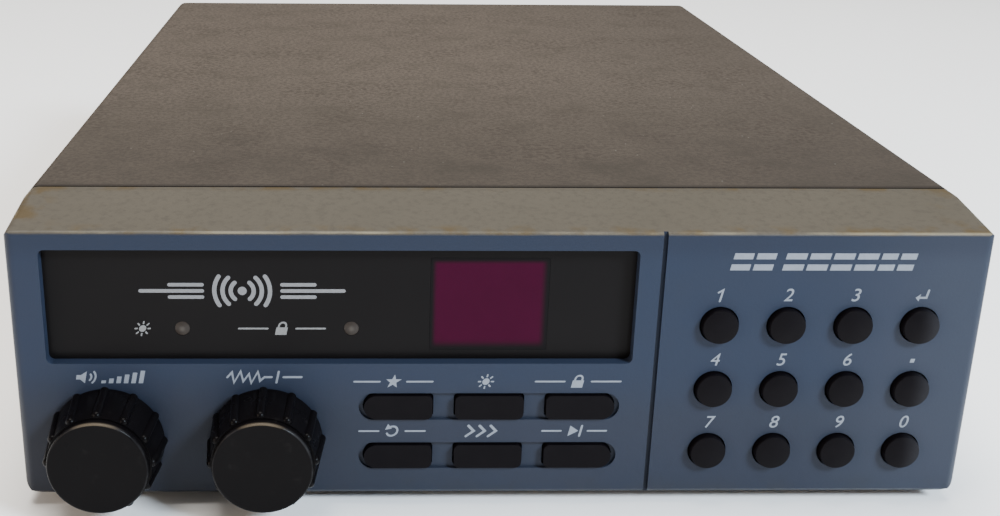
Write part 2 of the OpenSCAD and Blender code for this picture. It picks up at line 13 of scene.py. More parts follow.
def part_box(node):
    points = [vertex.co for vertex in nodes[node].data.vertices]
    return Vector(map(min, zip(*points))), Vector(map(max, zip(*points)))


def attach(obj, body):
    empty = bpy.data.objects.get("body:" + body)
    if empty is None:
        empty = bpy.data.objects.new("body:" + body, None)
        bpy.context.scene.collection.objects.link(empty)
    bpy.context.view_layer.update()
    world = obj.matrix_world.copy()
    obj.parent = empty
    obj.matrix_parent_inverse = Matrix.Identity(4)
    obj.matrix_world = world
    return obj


MM = 0.001

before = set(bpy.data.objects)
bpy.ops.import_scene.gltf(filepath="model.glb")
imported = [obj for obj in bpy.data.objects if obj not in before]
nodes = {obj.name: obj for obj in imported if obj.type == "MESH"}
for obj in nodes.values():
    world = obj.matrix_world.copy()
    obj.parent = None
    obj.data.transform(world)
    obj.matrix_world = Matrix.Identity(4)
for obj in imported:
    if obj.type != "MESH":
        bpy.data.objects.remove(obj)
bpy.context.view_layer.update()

bezel_low, bezel_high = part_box("front_bezel")
FACE_Y = bezel_low.y
BASE_Z = bezel_low.z
NOSE_Z = BASE_Z + 47.4 * MM  # where the face turns into the sloped band
WINDOW_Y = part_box("display_window")[0].y
COVER_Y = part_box("top_cover")[0].y
PANEL_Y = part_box("rear_panel")[1].y
KNOB_RIM = 8.3 * MM  # radius of the painted highlight ring on the knobs' caps


# ---------- node tools ----------


def middle(node):
    """Middle of a node's box."""
    low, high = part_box(node)
    return (low + high) / 2


def lamp_middles():
    """Middles of the left and the right window lamp."""
    low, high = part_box("window_lamps")
    rim = (high.z - low.z) / 2
    inward = Vector((rim, 0.0, rim))
    return low + inward, high - inward


class Shader:
    """One material with a Principled shader, and short ways to add nodes to it."""

    def __init__(self, name, roughness=0.5, metallic=0.0, specular=0.5, sheen=0.0):
        self.material = bpy.data.materials.new(name)
        self.material.use_nodes = True
        self.tree = self.material.node_tree
        self.bsdf = self.tree.nodes["Principled BSDF"]
        self.set("Roughness", roughness)
        self.set("Metallic", metallic)
        self.set("Specular IOR Level", specular)
        self.set("Sheen Weight", sheen)
        self.here = self.node("ShaderNodeTexCoord").outputs["Object"]

    def node(self, kind, **settings):
        made = self.tree.nodes.new(kind)
        for key, value in settings.items():
            setattr(made, key, value)
        return made

    def feed(self, socket, value):
        """Links an output socket, or sets a plain number or colour."""
        if isinstance(value, bpy.types.NodeSocket):
            self.tree.links.new(value, socket)
        elif socket.type == "RGBA" and len(value) == 3:
            socket.default_value = (*value, 1.0)
        else:
            socket.default_value = value

    def set(self, name, value):
        self.feed(self.bsdf.inputs[name], value)

    def stretched(self, stretch):
        """Object coordinates, scaled differently along each axis."""
        made = self.node("ShaderNodeVectorMath", operation="MULTIPLY")
        self.feed(made.inputs[0], self.here)
        self.feed(made.inputs[1], stretch)
        return made.outputs["Vector"]

    def noise(self, grain, detail=3.0, roughness=0.55, stretch=None):
        """Noise from 0 to 1, with a grain of that many millimetres."""
        made = self.node("ShaderNodeTexNoise")
        self.feed(made.inputs["Vector"], self.stretched(stretch) if stretch else self.here)
        self.feed(made.inputs["Scale"], 1.0 / (grain * MM))
        self.feed(made.inputs["Detail"], detail)
        self.feed(made.inputs["Roughness"], roughness)
        return made.outputs["Fac"]

    def cells(self, grain, feature="F1", metric="EUCLIDEAN"):
        """Distance within scattered cells of about that many millimetres."""
        made = self.node("ShaderNodeTexVoronoi", feature=feature, distance=metric)
        self.feed(made.inputs["Vector"], self.here)
        self.feed(made.inputs["Scale"], 1.0 / (grain * MM))
        return made.outputs["Distance"]

    def step(self, value, start, end):
        """Smoothly 0 at start to 1 at end; start may be above end."""
        made = self.node("ShaderNodeMapRange", interpolation_type="SMOOTHSTEP")
        low, high = min(start, end), max(start, end)
        self.feed(made.inputs["Value"], value)
        self.feed(made.inputs["From Min"], low)
        self.feed(made.inputs["From Max"], high)
        self.feed(made.inputs["To Min"], 0.0 if start < end else 1.0)
        self.feed(made.inputs["To Max"], 1.0 if start < end else 0.0)
        return made.outputs["Result"]

    def span(self, value, low, high):
        """Linear from low to high as value goes from 0 to 1."""
        made = self.node("ShaderNodeMapRange")
        self.feed(made.inputs["Value"], value)
        self.feed(made.inputs["To Min"], low)
        self.feed(made.inputs["To Max"], high)
        return made.outputs["Result"]

    def calc(self, operation, first, second=0.0):
        made = self.node("ShaderNodeMath", operation=operation)
        self.feed(made.inputs[0], first)
        self.feed(made.inputs[1], second)
        return made.outputs["Value"]

    def wave(self, length, pitch):
        """Sine of a length, with one turn for that many millimetres."""
        return self.calc("SINE", self.calc("MULTIPLY", length, 2 * math.pi / (pitch * MM)))

    def product(self, *values):
        result = values[0]
        for value in values[1:]:
            result = self.calc("MULTIPLY", result, value)
        return result

    def largest(self, *values):
        result = values[0]
        for value in values[1:]:
            result = self.calc("MAXIMUM", result, value)
        return result

    def mix(self, factor, first, second):
        """First colour where the factor is 0, second where it is 1."""
        made = self.node("ShaderNodeMix", data_type="RGBA")
        self.feed(made.inputs["Factor"], factor)
        # The node has sockets of these names for every data type; these are the colours.
        self.feed(made.inputs[6], first)
        self.feed(made.inputs[7], second)
        return made.outputs[2]

    def place(self):
        """X, Y and Z of the point, in metres."""
        made = self.node("ShaderNodeSeparateXYZ")
        self.feed(made.inputs[0], self.here)
        return made.outputs

    def radius(self, *centres):
        """Distance of the point from the nearest of some front-to-back axes."""
        distances = []
        for centre in centres:
            made = self.node("ShaderNodeVectorMath", operation="DISTANCE")
            self.feed(made.inputs[0], self.stretched((1.0, 0.0, 1.0)))
            self.feed(made.inputs[1], (centre.x, 0.0, centre.z))
            distances.append(made.outputs["Value"])
        nearest = distances[0]
        for distance in distances[1:]:
            nearest = self.calc("MINIMUM", nearest, distance)
        return nearest

    def facing_up(self):
        """How far the surface faces up: 1 on a level top and 0 on a wall."""
        made = self.node("ShaderNodeSeparateXYZ")
        self.feed(made.inputs[0], self.node("ShaderNodeNewGeometry").outputs["Normal"])
        return made.outputs["Z"]

    def bump(self, *layers):
        """Adds bump from pairs of a height socket and its depth in millimetres."""
        normal = None
        for height, depth in layers:
            made = self.node("ShaderNodeBump")
            self.feed(made.inputs["Height"], height)
            self.feed(made.inputs["Distance"], depth * MM)
            if normal is not None:
                self.feed(made.inputs["Normal"], normal)
            normal = made.outputs["Normal"]
        self.set("Normal", normal)


# ---------- outer materials ----------


def face_blue(s, x, z, broad, patches, fine):
    """Blue-grey of the front face: bluer above, painted lighter at the right, with painted shade under
    the nose and low on the left.
    """
    blue = s.mix(broad, (0.0160, 0.0208, 0.0335), (0.0193, 0.0230, 0.0350))
    blue = s.mix(s.product(s.step(fine, 0.5, 0.75), 0.25), blue, (0.0150, 0.0170, 0.0240))
    upper = s.product(s.step(z, BASE_Z + 14 * MM, BASE_Z + 24 * MM), s.span(patches, 0.4, 0.9))
    blue = s.mix(upper, blue, (0.0155, 0.0225, 0.0415))
    # Painted light: the face turns lighter towards its right end.
    painted_light_right = s.step(x, bezel_high.x - 32 * MM, bezel_high.x - 4 * MM)
    blue = s.mix(s.product(painted_light_right, 0.8), blue, (0.0270, 0.0325, 0.0470))
    # Painted shade under the nose, on the strip above the window.
    under_nose = s.step(z, NOSE_Z - 5 * MM, NOSE_Z - 1 * MM)
    blue = s.mix(s.product(under_nose, 0.3), blue, (0.0100, 0.0130, 0.0230))
    # Painted shade: darker and browner low on the left, round the knobs.
    painted_shade_low_left = s.product(
        s.step(x, bezel_low.x + 85 * MM, bezel_low.x + 10 * MM),
        s.step(z, BASE_Z + 26 * MM, BASE_Z + 6 * MM),
    )
    return s.mix(s.product(painted_shade_low_left, 0.4), blue, (0.0170, 0.0150, 0.0150))


def yellowed_top_lit_band(s, broad, fine):
    """Yellowed grey of the sloped band above the face, also painted warmer and lighter as lit from
    above.
    """
    yellowed_and_lit = s.mix(broad, (0.052, 0.045, 0.034), (0.062, 0.053, 0.041))
    return s.mix(s.product(s.step(fine, 0.45, 0.7), 0.4), yellowed_and_lit, (0.034, 0.029, 0.023))


def bezel_plastic():
    """Blue-grey moulding whose top band has yellowed and is painted lit from above; its nose is rubbed
    pale and painted with a highlight line.
    """
    s = Shader("bezel_plastic", specular=0.12)
    x, y, z = s.place()
    facing_up = s.facing_up()
    broad = s.noise(26.0)
    patches = s.noise(5.5, detail=5.0)
    fine = s.noise(1.3, detail=4.0, roughness=0.7)
    above_nose = s.step(z, NOSE_Z - 0.6 * MM, NOSE_Z + 0.2 * MM)
    # Upward faces above the nose take the band colour: yellowed, and painted lighter and warmer as lit
    # from above.
    on_band = s.product(s.step(facing_up, 0.15, 0.7), above_nose)
    colour = s.mix(on_band, face_blue(s, x, z, broad, patches, fine), yellowed_top_lit_band(s, broad, fine))

    seam = s.step(y, COVER_Y - 3.2 * MM, COVER_Y - 0.8 * MM)
    nose = s.step(y, FACE_Y + 3.5 * MM, FACE_Y + 0.8 * MM)
    ends = s.step(s.calc("ABSOLUTE", x), bezel_high.x - 9 * MM, bezel_high.x - 2 * MM)
    stained = s.product(on_band, s.largest(seam, nose, ends), s.step(patches, 0.46, 0.66))
    colour = s.mix(s.product(stained, 0.75), colour, (0.054, 0.036, 0.014))

    # The nose line is rubbed pale and also a painted highlight, broken up by noise.
    rubbed_and_highlit = s.product(
        s.step(facing_up, 0.45, 0.65),
        s.step(facing_up, 0.97, 0.85),
        s.step(z, NOSE_Z - 0.4 * MM, NOSE_Z + 0.2 * MM),
    )
    broken_up = s.step(s.noise(4.0, detail=6.0, stretch=(0.3, 1.0, 1.0)), 0.42, 0.66)
    colour = s.mix(s.product(rubbed_and_highlit, broken_up, 0.5), colour, (0.20, 0.172, 0.115))
    foot = s.product(s.step(z, BASE_Z + 5 * MM, BASE_Z), s.step(patches, 0.40, 0.70))
    colour = s.mix(s.product(foot, 0.35), colour, (0.022, 0.023, 0.025))

    s.set("Base Color", colour)
    s.set("Roughness", s.span(patches, 0.40, 0.54))
    s.bump((s.noise(0.45, detail=2.0), 0.018), (s.noise(6.0), 0.05))
    return s.material


def painted_sheet():
    """Taupe baked paint: grain, blots, patches of dark pits, and darker towards the front edge."""
    s = Shader("painted_sheet", specular=0.2)
    x, y, z = s.place()
    cloud = s.noise(55.0, detail=4.0)
    grain = s.noise(0.9, detail=3.0, roughness=0.7)
    blots = s.noise(11.0, detail=6.0, roughness=0.65)
    colour = s.mix(cloud, (0.0530, 0.0410, 0.0312), (0.0690, 0.0540, 0.0420))
    colour = s.mix(s.product(s.step(grain, 0.42, 0.60), 0.60), colour, (0.0250, 0.0190, 0.0142))
    colour = s.mix(s.product(s.step(blots, 0.48, 0.70), 0.40), colour, (0.0300, 0.0235, 0.0165))
    # Darker towards the front edge and towards the right.
    front = s.step(y, FACE_Y + 125 * MM, FACE_Y + 15 * MM)
    colour = s.mix(s.product(front, s.span(blots, 0.35, 0.95)), colour, (0.0195, 0.0152, 0.0110))
    right = s.step(x, 0.0, bezel_high.x)
    colour = s.mix(s.product(right, 0.28), colour, (0.0240, 0.0195, 0.0160))
    # Painted shade and dirt: a dark line along the seam with the bezel.
    seam = s.step(y, COVER_Y + 1.6 * MM, COVER_Y + 0.3 * MM)
    on_top = s.step(z, bezel_high.z - 3.0 * MM, bezel_high.z - 1.0 * MM)
    colour = s.mix(s.product(seam, on_top, 0.75), colour, (0.010, 0.007, 0.005))
    pits = s.product(s.step(s.cells(1.4), 0.50, 0.30), s.step(s.noise(18.0, detail=5.0), 0.46, 0.62))
    colour = s.mix(s.product(pits, 0.45), colour, (0.0200, 0.0140, 0.0100))
    specks = s.product(s.step(s.cells(2.6), 0.075, 0.045), s.step(s.noise(14.0), 0.52, 0.60))
    colour = s.mix(s.product(specks, 0.5), colour, (0.16, 0.15, 0.13))
    s.set("Base Color", colour)
    s.set("Roughness", s.span(grain, 0.54, 0.72))
    s.bump((s.noise(0.5, detail=3.0), 0.03), (blots, 0.05))
    return s.material


def window_black():
    """Smoked plate with faint dust and hair scratches."""
    s = Shader("window_black", specular=0.06)
    dust = s.product(s.step(s.cells(1.9), 0.05, 0.02), s.step(s.noise(9.0), 0.5, 0.65))
    haze = s.noise(18.0)
    hairs = s.step(s.noise(0.5, stretch=(0.03, 1.0, 1.0)), 0.72, 0.78)
    colour = s.mix(haze, (0.0038, 0.0032, 0.0034), (0.0058, 0.0050, 0.0050))
    colour = s.mix(s.product(dust, 0.3), colour, (0.09, 0.085, 0.08))
    colour = s.mix(s.product(hairs, 0.05), colour, (0.1, 0.1, 0.1))
    s.set("Base Color", colour)
    s.set("Roughness", s.span(haze, 0.27, 0.38))
    s.bump((s.noise(20.0, detail=1.0), 0.02))
    return s.material


def filter_magenta():
    """Coloured display filter that fades into the smoked plate at its edges."""
    s = Shader("filter_magenta", specular=0.04)
    x, _, z = s.place()
    low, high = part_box("display_filter")
    inside = s.product(
        s.step(x, low.x + 0.2 * MM, low.x + 1.2 * MM),
        s.step(x, high.x - 0.2 * MM, high.x - 1.6 * MM),
        s.step(z, low.z + 0.2 * MM, low.z + 2.0 * MM),
        s.step(z, high.z - 0.2 * MM, high.z - 1.2 * MM),
    )
    body = s.mix(s.noise(7.0), (0.0260, 0.0008, 0.0095), (0.0340, 0.0010, 0.0125))
    mesh = s.noise(0.35, detail=1.0)
    body = s.mix(s.product(s.step(mesh, 0.4, 0.7), 0.18), body, (0.019, 0.0012, 0.013))
    s.set("Base Color", s.mix(inside, (0.0052, 0.0046, 0.0050), body))
    s.set("Roughness", s.span(mesh, 0.28, 0.36))
    return s.material


def lamp_lens():
    """Unlit lamps: dull lens with a paler chip at its middle."""
    s = Shader("lamp_lens", roughness=0.35, specular=0.15)
    far = s.radius(*lamp_middles())
    colour = s.mix(s.noise(0.8), (0.021, 0.0165, 0.0140), (0.028, 0.0220, 0.0180))
    colour = s.mix(s.step(far, 0.65 * MM, 0.15 * MM), colour, (0.046, 0.039, 0.033))
    s.set("Base Color", colour)
    return s.material


def knob_black():
    """Hard satin plastic of the knobs: dust between the ribs, and a painted highlight ring at the caps'
    rim.

    The top of each ring is the palest and warmest painted highlight, and turns with its knob.
    """
    s = Shader("knob_black", specular=0.05)
    _, y, z = s.place()
    dust = s.step(s.noise(2.4, detail=6.0), 0.60, 0.78)
    colour = s.mix(s.noise(8.0), (0.0016, 0.0013, 0.0016), (0.0028, 0.0023, 0.0025))
    colour = s.mix(s.product(dust, 0.07), colour, (0.06, 0.055, 0.05))
    axis = middle("volume_knob")
    cap_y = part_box("volume_knob")[0].y
    far = s.radius(axis, middle("squelch_knob"))
    # Painted highlight: a paler ring round each cap's rim, broken up by noise.
    rim = s.product(
        s.step(far, KNOB_RIM - 0.35 * MM, KNOB_RIM - 0.20 * MM),
        s.step(far, KNOB_RIM + 0.15 * MM, KNOB_RIM),
        s.step(y, cap_y + 0.8 * MM, cap_y),
    )
    broken_up = s.step(s.noise(5.0, detail=4.0), 0.35, 0.65)
    colour = s.mix(s.product(rim, broken_up, 0.6), colour, (0.026, 0.025, 0.026))
    # Painted highlight: warmest and palest at the top of each rim.
    top_highlight = s.step(z, axis.z + KNOB_RIM - 1.3 * MM, axis.z + KNOB_RIM - 0.1 * MM)
    s.set("Base Color", s.mix(s.product(rim, top_highlight, 0.9), colour, (0.080, 0.062, 0.042)))
    s.set("Roughness", s.span(s.noise(3.5, detail=5.0), 0.22, 0.36))
    s.bump((s.noise(0.6, detail=2.0), 0.008))
    return s.material


def key_rubber():
    """Matt black of the keys and function buttons; the right-hand column has a painted glare on its
    right half.
    """
    s = Shader("key_rubber", specular=0.05)
    colour = s.mix(s.noise(3.0, detail=5.0), (0.0018, 0.0013, 0.0020), (0.0036, 0.0028, 0.0036))
    # Painted glare: paler over the right half of the right-hand column.
    glare_start = middle("key_enter").x - 0.8 * MM
    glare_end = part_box("key_enter")[1].x - 0.4 * MM
    painted_glare = s.product(
        s.step(s.place()["X"], glare_start, glare_end),
        s.span(s.noise(2.0, detail=4.0), 0.5, 1.0),
    )
    s.set("Base Color", s.mix(painted_glare, colour, (0.0165, 0.0160, 0.0185)))
    s.set("Roughness", s.span(s.noise(2.2, detail=4.0), 0.38, 0.54))
    s.bump((s.noise(0.35, detail=2.0), 0.012))
    return s.material


def rubber():
    s = Shader("rubber", specular=0.3)
    grain = s.noise(0.4, detail=3.0)
    s.set("Base Color", s.mix(grain, (0.006, 0.006, 0.006), (0.014, 0.0135, 0.013)))
    s.set("Roughness", s.span(grain, 0.68, 0.88))
    s.bump((grain, 0.03))
    return s.material


def panel_black():
    """Powder-coated steel of the rear panel."""
    s = Shader("panel_black", specular=0.3)
    grain = s.noise(0.5, detail=3.0)
    scratches = s.step(s.noise(0.8, detail=2.0, stretch=(1.0, 1.0, 0.05)), 0.72, 0.78)
    colour = s.mix(s.noise(20.0), (0.013, 0.013, 0.0135), (0.019, 0.0185, 0.018))
    s.set("Base Color", s.mix(s.product(scratches, 0.15), colour, (0.12, 0.115, 0.11)))
    s.set("Roughness", s.span(grain, 0.42, 0.62))
    s.bump((grain, 0.03))
    return s.material


# ---------- metals ----------


def metal(name, dark, bright, smooth, rough):
    """Bare or plated metal: tarnish in broad patches and fine rubbing marks."""
    s = Shader(name, metallic=1.0)
    tarnish = s.noise(4.0, detail=5.0)
    marks = s.noise(0.3, detail=2.0, stretch=(1.0, 0.2, 1.0))
    s.set("Base Color", s.mix(tarnish, dark, bright))
    s.set("Roughness", s.span(marks, smooth, rough))
    s.bump((marks, 0.006))
    return s.material


METALS = {
    "plated_steel": ((0.42, 0.41, 0.38), (0.62, 0.61, 0.58), 0.24, 0.42),
    "brass": ((0.45, 0.30, 0.12), (0.68, 0.50, 0.24), 0.22, 0.40),
    "nickel": ((0.48, 0.46, 0.42), (0.70, 0.68, 0.63), 0.14, 0.28),
    "tin_plate": ((0.50, 0.50, 0.48), (0.68, 0.68, 0.66), 0.34, 0.50),
    "magnet_steel": ((0.10, 0.10, 0.11), (0.20, 0.20, 0.21), 0.40, 0.60),
}


# ---------- inner materials ----------


def board():
    """Green solder resist with raised tracks and pale pads."""
    s = Shader("board", roughness=0.32)
    tracks = s.cells(2.4, feature="DISTANCE_TO_EDGE", metric="MANHATTAN")
    track = s.step(tracks, 0.10, 0.06)
    pads = s.step(s.cells(2.54), 0.24, 0.18)
    colour = s.mix(s.noise(15.0), (0.010, 0.075, 0.030), (0.016, 0.100, 0.042))
    colour = s.mix(s.product(track, 0.8), colour, (0.030, 0.17, 0.060))
    s.set("Base Color", s.mix(s.product(pads, 0.9), colour, (0.50, 0.49, 0.45)))
    s.bump((track, 0.05))
    return s.material


def mat_silicone():
    s = Shader("mat_silicone")
    grain = s.noise(0.5, detail=3.0)
    s.set("Base Color", s.mix(grain, (0.10, 0.10, 0.105), (0.15, 0.15, 0.155)))
    s.set("Roughness", s.span(grain, 0.5, 0.7))
    s.bump((grain, 0.02))
    return s.material


def moulded_black():
    s = Shader("moulded_black")
    grain = s.noise(0.3, detail=3.0)
    s.set("Base Color", s.mix(s.noise(5.0), (0.012, 0.012, 0.012), (0.022, 0.022, 0.022)))
    s.set("Roughness", s.span(grain, 0.42, 0.60))
    s.bump((grain, 0.015))
    return s.material


def heat_black():
    """Black anodised aluminium with extrusion lines."""
    s = Shader("heat_black", metallic=0.6)
    lines = s.noise(0.4, detail=2.0, stretch=(1.0, 1.0, 0.04))
    s.set("Base Color", s.mix(lines, (0.018, 0.018, 0.020), (0.040, 0.040, 0.043)))
    s.set("Roughness", s.span(lines, 0.34, 0.5))
    s.bump((lines, 0.02))
    return s.material


def can_sleeve():
    """Blue sleeve of a capacitor, with the bare aluminium top showing."""
    s = Shader("can_sleeve")
    top = s.step(s.facing_up(), 0.8, 0.95)
    wrinkle = s.noise(1.2, detail=4.0)
    sleeve = s.mix(wrinkle, (0.012, 0.020, 0.085), (0.020, 0.032, 0.120))
    s.set("Base Color", s.mix(top, sleeve, (0.60, 0.60, 0.61)))
    s.set("Metallic", top)
    s.set("Roughness", s.span(wrinkle, 0.25, 0.42))
    s.bump((wrinkle, 0.02))
    return s.material


def cloth():
    """Open black weave behind the speaker slots."""
    s = Shader("cloth", roughness=0.9, sheen=0.3)
    x, y, _ = s.place()
    weave = s.span(s.product(s.wave(x, 0.8), s.wave(y, 0.8)), 0.5, 1.0)
    s.set("Base Color", s.mix(weave, (0.008, 0.008, 0.008), (0.030, 0.029, 0.028)))
    s.bump((weave, 0.12))
    return s.material


def paper_cone():
    s = Shader("paper_cone")
    fibre = s.noise(0.9, detail=6.0, roughness=0.7)
    s.set("Base Color", s.mix(fibre, (0.020, 0.018, 0.016), (0.055, 0.050, 0.045)))
    s.set("Roughness", s.span(fibre, 0.7, 0.9))
    s.bump((fibre, 0.06))
    return s.material


def ribbon():
    """Grey flat cable: one ridge for each conductor."""
    s = Shader("ribbon")
    level = s.span(s.wave(s.place()["X"], 1.27), 0.5, 1.0)
    s.set("Base Color", s.mix(level, (0.20, 0.20, 0.20), (0.42, 0.42, 0.41)))
    s.set("Roughness", s.span(s.noise(3.0), 0.4, 0.55))
    s.bump((level, 0.3))
    return s.material


# ---------- printing ink ----------


def ink(name, dark, bright):
    """Screen-printed ink, a little uneven."""
    s = Shader(name)
    cover = s.noise(0.7, detail=5.0)
    s.set("Base Color", s.mix(cover, dark, bright))
    s.set("Roughness", s.span(cover, 0.5, 0.7))
    s.bump((cover, 0.004))
    return s.material


# ---------- printed shapes ----------

# Millimetres: how far ink stands out, how far it reaches in, and how much further each next
# shape of a symbol stands out, so that shapes that overlap never share a surface.
INK_THICK = 0.03
INK_ROOT = 0.01
LAYER_RISE = 0.002

CAP_TURNS = [math.radians(degrees) for degrees in (25, 50, 70, 85)]


class Print:
    """Flat printed shapes on one upright face, gathered into one mesh.

    Shapes are drawn in millimetres as (across, up) from the middle of the symbol. Outward is
    -1 for a face towards the front and +1 for a face towards the back.
    """

    def __init__(self, face_y, x, z, slant=0.0, outward=-1):
        self.face_y = face_y
        self.x = x
        self.z = z
        self.slant = slant
        self.outward = outward
        self.points = []
        self.faces = []
        self.layer = 0

    def _corner(self, across, up, out):
        sideways = -self.outward * (across + self.slant * up) * MM
        return (self.x + sideways, self.face_y + self.outward * out * MM, self.z + up * MM)

    def _next_level(self):
        """How far the next shape stands out."""
        level = INK_THICK + LAYER_RISE * self.layer
        self.layer += 1
        return level

    def fill(self, outline):
        """A filled convex shape."""
        first = len(self.points)
        count = len(outline)
        for level in (self._next_level(), -INK_ROOT):
            self.points += [self._corner(a, u, level) for a, u in outline]
        self.faces.append([first + i for i in range(count)])
        for i in range(count):
            after = (i + 1) % count
            self.faces.append([first + i, first + count + i, first + count + after, first + after])

    def stroke(self, path, width):
        """A line of one width through the path's points, with round ends."""
        radius = width / 2
        centre = [Vector(point) for point in path]
        start, end = centre[0], centre[-1]
        behind = (start - centre[1]).normalized()
        ahead = (end - centre[-2]).normalized()
        first_cap = [start + behind * radius * math.sin(turn) for turn in reversed(CAP_TURNS)]
        last_cap = [end + ahead * radius * math.sin(turn) for turn in CAP_TURNS]
        cap_widths = [radius * math.cos(turn) for turn in CAP_TURNS]
        centre = first_cap + centre + last_cap
        widths = cap_widths[::-1] + [radius] * len(path) + cap_widths
        left, right = [], []
        last = len(centre) - 1
        for i, point in enumerate(centre):
            into = (point - centre[max(i - 1, 0)]).normalized()
            out_of = (centre[min(i + 1, last)] - point).normalized()
            along = (into + out_of).normalized()
            side = Vector((-along.y, along.x))
            # At a bend the edges move apart, so that both of its arms keep their width.
            bend = max(0.5, side.dot(Vector((-into.y, into.x))) if into.length else 1.0)
            left.append(point + side * widths[i] / bend)
            right.append(point - side * widths[i] / bend)
        self._band(left, right)

    def _band(self, left, right):
        """A strip between two edges, four points for each step along it."""
        top, root = self._next_level(), -INK_ROOT
        first = len(self.points)
        for a, b in zip(left, right):
            for (across, up), level in ((a, top), (b, top), (b, root), (a, root)):
                self.points.append(self._corner(across, up, level))
        end = len(self.points) - 4
        for here in range(first, end, 4):
            for k in range(4):
                after = (k + 1) % 4
                self.faces.append([here + k, here + after, here + 4 + after, here + 4 + k])
        self.faces.append([first, first + 1, first + 2, first + 3])
        self.faces.append([end + 3, end + 2, end + 1, end])

    def piece(self, name, material):
        mesh = bpy.data.meshes.new(name)
        mesh.from_pydata(self.points, [], self.faces)
        mesh.validate()
        add_ink(name, mesh, material)


def add_ink(name, mesh, material):
    """Adds a printed mesh to the scene; it rides the fixed body."""
    mesh.materials.append(material)
    made = bpy.data.objects.new(name, mesh)
    bpy.context.scene.collection.objects.link(made)
    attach(made, "root")


def polar(radius, degrees, across=0.0, up=0.0):
    """Point on a circle; 0 degrees is to the right and 90 is up."""
    turn = math.radians(degrees)
    return (across + radius * math.cos(turn), up + radius * math.sin(turn))


def arc(radius, start, end, across=0.0, up=0.0, steps=16):
    """Points on a circle, from start to end degrees."""
    return [polar(radius, start + (end - start) * i / steps, across, up) for i in range(steps + 1)]


def disc(radius):
    """Points round a full circle."""
    return [polar(radius, degrees) for degrees in range(0, 360, 15)]


def rules(p, inner, outer):
    """A short line on each side of a symbol."""
    for side in (-1, 1):
        p.stroke([(side * inner, 0), (side * outer, 0)], 0.3)


# ---------- symbols ----------


def volume_symbol(p):
    """Loudspeaker with two waves, then six bars that rise to the right."""
    p.fill([(-5.6, -0.4), (-4.9, -0.4), (-4.9, 0.4), (-5.6, 0.4)])
    p.fill([(-4.9, -0.4), (-4.0, -1.1), (-4.0, 1.1), (-4.9, 0.4)])
    for radius in (0.8, 1.5):
        p.stroke(arc(radius, -42, 42, across=-3.9), 0.32)
    for i in range(6):
        left = -1.3 + i * 1.25
        right = left + 0.75
        top = -0.6 + i * 0.36
        p.fill([(left, -1.1), (right, -1.1), (right, top), (left, top)])


def squelch_symbol(p):
    """Noise that stops: a jagged line that turns flat."""
    jags = [(-6.2, 0), (-5.6, 0.9), (-4.9, -1.0), (-4.2, 1.1), (-3.4, -0.8), (-2.7, 0.6)]
    jags += [(-2.0, -1.1), (-1.3, 1.0), (-0.6, -0.7), (0, 0), (1.2, 0)]
    p.stroke(jags, 0.38)
    p.stroke([(2.2, -1.0), (2.2, 1.0)], 0.38)
    p.stroke([(3.2, 0), (6.2, 0)], 0.38)


def star_symbol(p):
    """Five-pointed star, as five kites."""
    for i in range(5):
        tip = 90 + i * 72
        p.fill([(0, 0), polar(0.54, tip - 36), polar(1.35, tip), polar(0.54, tip + 36)])


def sun_symbol(p):
    """Sun with eight rays."""
    p.fill(disc(0.6))
    for i in range(8):
        p.stroke([polar(0.92, i * 45), polar(1.25, i * 45)], 0.26)


def lock_symbol(p):
    """Closed padlock."""
    p.fill([(-0.95, -1.15), (0.95, -1.15), (0.95, 0.2), (-0.95, 0.2)])
    p.stroke([(0.6, 0.2), *arc(0.6, 0, 180, up=0.5, steps=12), (-0.6, 0.2)], 0.3)


def back_symbol(p):
    """Arrow that turns back on itself."""
    p.stroke(arc(0.9, -150, 120), 0.34)
    p.fill([(-0.95, 1.35), (-0.15, 0.5), (-1.25, 0.25)])


def scan_symbol(p):
    """Three arrowheads in a row."""
    for start in (-2.9, -1.0, 0.9):
        p.stroke([(start, 1.0), (start + 1.1, 0), (start, -1.0)], 0.42)


def step_symbol(p):
    """Single step: an arrowhead against a bar."""
    p.fill([(-0.9, -1.0), (0.7, 0), (-0.9, 1.0)])
    p.stroke([(1.1, -0.95), (1.1, 0.95)], 0.36)


def one_symbol(p):
    """Digit one as two strokes."""
    p.stroke([(-0.55, 0.55), (0.1, 1.0), (0.1, -1.0)], 0.34)


def point_symbol(p):
    """Square decimal point."""
    p.fill([(-0.35, -0.35), (0.35, -0.35), (0.35, 0.35), (-0.35, 0.35)])


def enter_symbol(p):
    """Arrow down and to the left."""
    p.stroke([(0.75, 0.95), (0.75, -0.35), (-0.3, -0.35)], 0.36)
    p.fill([(-0.35, 0.3), (-1.05, -0.35), (-0.35, -1.0)])


def emblem_symbol(p):
    """Plain emblem: a dot, three waves on each side and three bars beyond them."""
    p.fill(disc(0.75))
    for radius, reach in ((1.9, 50), (3.25, 46), (4.6, 34)):
        for side in (0, 180):
            p.stroke(arc(radius, side - reach, side + reach), 0.72)
    for side in (-1, 1):
        for height, end in ((1.1, 12.0), (0, 16.8), (-1.1, 12.0)):
            p.stroke([(side * 6.6, height), (side * end, height)], 0.62)


def bar_symbol(p):
    """Plain slanted blocks in two groups, each block a pair of thin stripes."""
    gap, space = 0.55, 1.1
    left = -15.4
    for group in ((3.2, 3.2), (3.4, 3.4, 3.4, 3.4, 2.6, 2.6)):
        for width in group:
            right = left + width
            for low, high in ((-1.5, -0.45), (0.45, 1.5)):
                p.fill([(left, low), (right, low), (right, high), (left, high)])
            left = right + gap
        left += space


def aerial_symbol(p):
    """Aerial: a mast with two arms."""
    p.stroke([(0, -1.6), (0, 1.0)], 0.4)
    p.stroke([(-1.3, 1.6), (0, 0.2), (1.3, 1.6)], 0.4)


